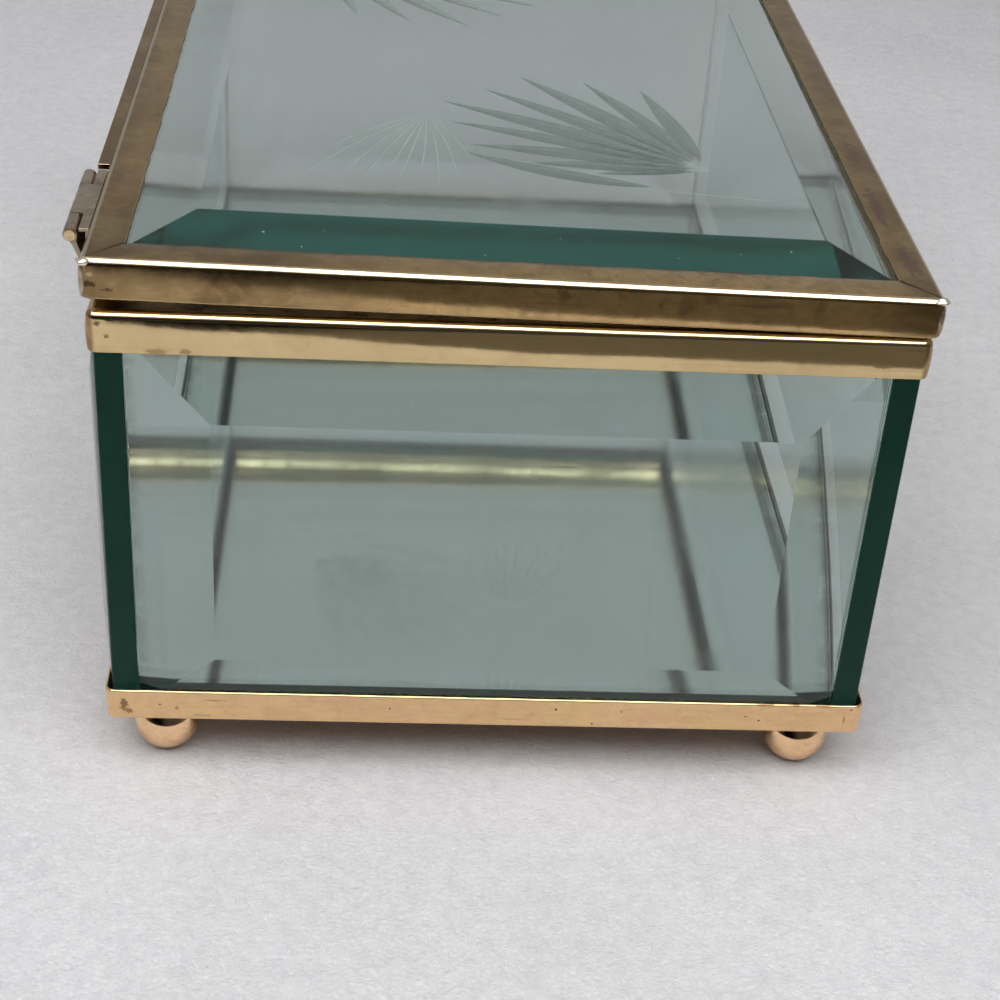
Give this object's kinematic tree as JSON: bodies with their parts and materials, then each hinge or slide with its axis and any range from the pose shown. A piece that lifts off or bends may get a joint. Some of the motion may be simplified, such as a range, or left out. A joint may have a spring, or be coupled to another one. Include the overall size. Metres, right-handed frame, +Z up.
{
  "type": "glass casket box",
  "caption": "Small rectangular keepsake box of bevelled glass in brass bands, with a mirror floor, ball feet and a hinged, framed glass lid.",
  "frame": {"origin": "on the surface the feet stand on, under the middle of the whole object's box", "axes": "+Z up; +Y along the length, from the left end to the right end; +X towards the front, the lid's opening side, with the hinges on -X"},
  "size_m": [0.1013, 0.1534, 0.0733],
  "materials": {
    "band_brass": "lacquered brass sheet, light scratches and dark specks",
    "rim_brass": "polished brass, mirror-like, tarnish spots",
    "lid_brass": "tarnished brass with brown patina",
    "hinge_brass": "dull greyish brass",
    "pin_brass": "drawn brass wire",
    "foot_brass": "polished brass",
    "wall_glass": "clear green-tinted float glass, polished bevels",
    "lid_glass": "clear green-tinted float glass, polished bevels, wheel-cut leaf spray",
    "mirror_glass": "clear green-tinted float glass",
    "silvering": "silvered back, with fine ageing specks",
    "board": "dark grey board",
    "cement": "clear cement"
  },
  "bodies": {
    "case": {"base_band": "band_brass", "backing_board": "board", "mirror_silvering": "silvering", "mirror_glass": "mirror_glass", "left_end_glass": "wall_glass", "right_end_glass": "wall_glass", "front_glass": "wall_glass", "back_glass": "wall_glass", "corner_cement": "cement", "top_rim": "rim_brass", "front_left_foot": "foot_brass", "front_right_foot": "foot_brass", "back_left_foot": "foot_brass", "back_right_foot": "foot_brass", "left_hinge_case_leaf": "hinge_brass", "right_hinge_case_leaf": "hinge_brass", "left_hinge_pin": "pin_brass", "right_hinge_pin": "pin_brass"},
    "lid": {"left_hinge_lid_leaf": "hinge_brass", "right_hinge_lid_leaf": "hinge_brass", "lid_glass": "lid_glass", "lid_front_rail": "lid_brass", "lid_back_rail": "lid_brass", "lid_left_rail": "lid_brass", "lid_right_rail": "lid_brass", "lid_back_strip": "lid_brass"}
  },
  "joints": [
    {"name": "lid_hinge", "type": "hinge", "parent": "case", "child": "lid", "pos_m": [-0.0498, 0, 0.0706], "axis": [0, -1, 0], "range_deg": [0, 105]}
  ]
}
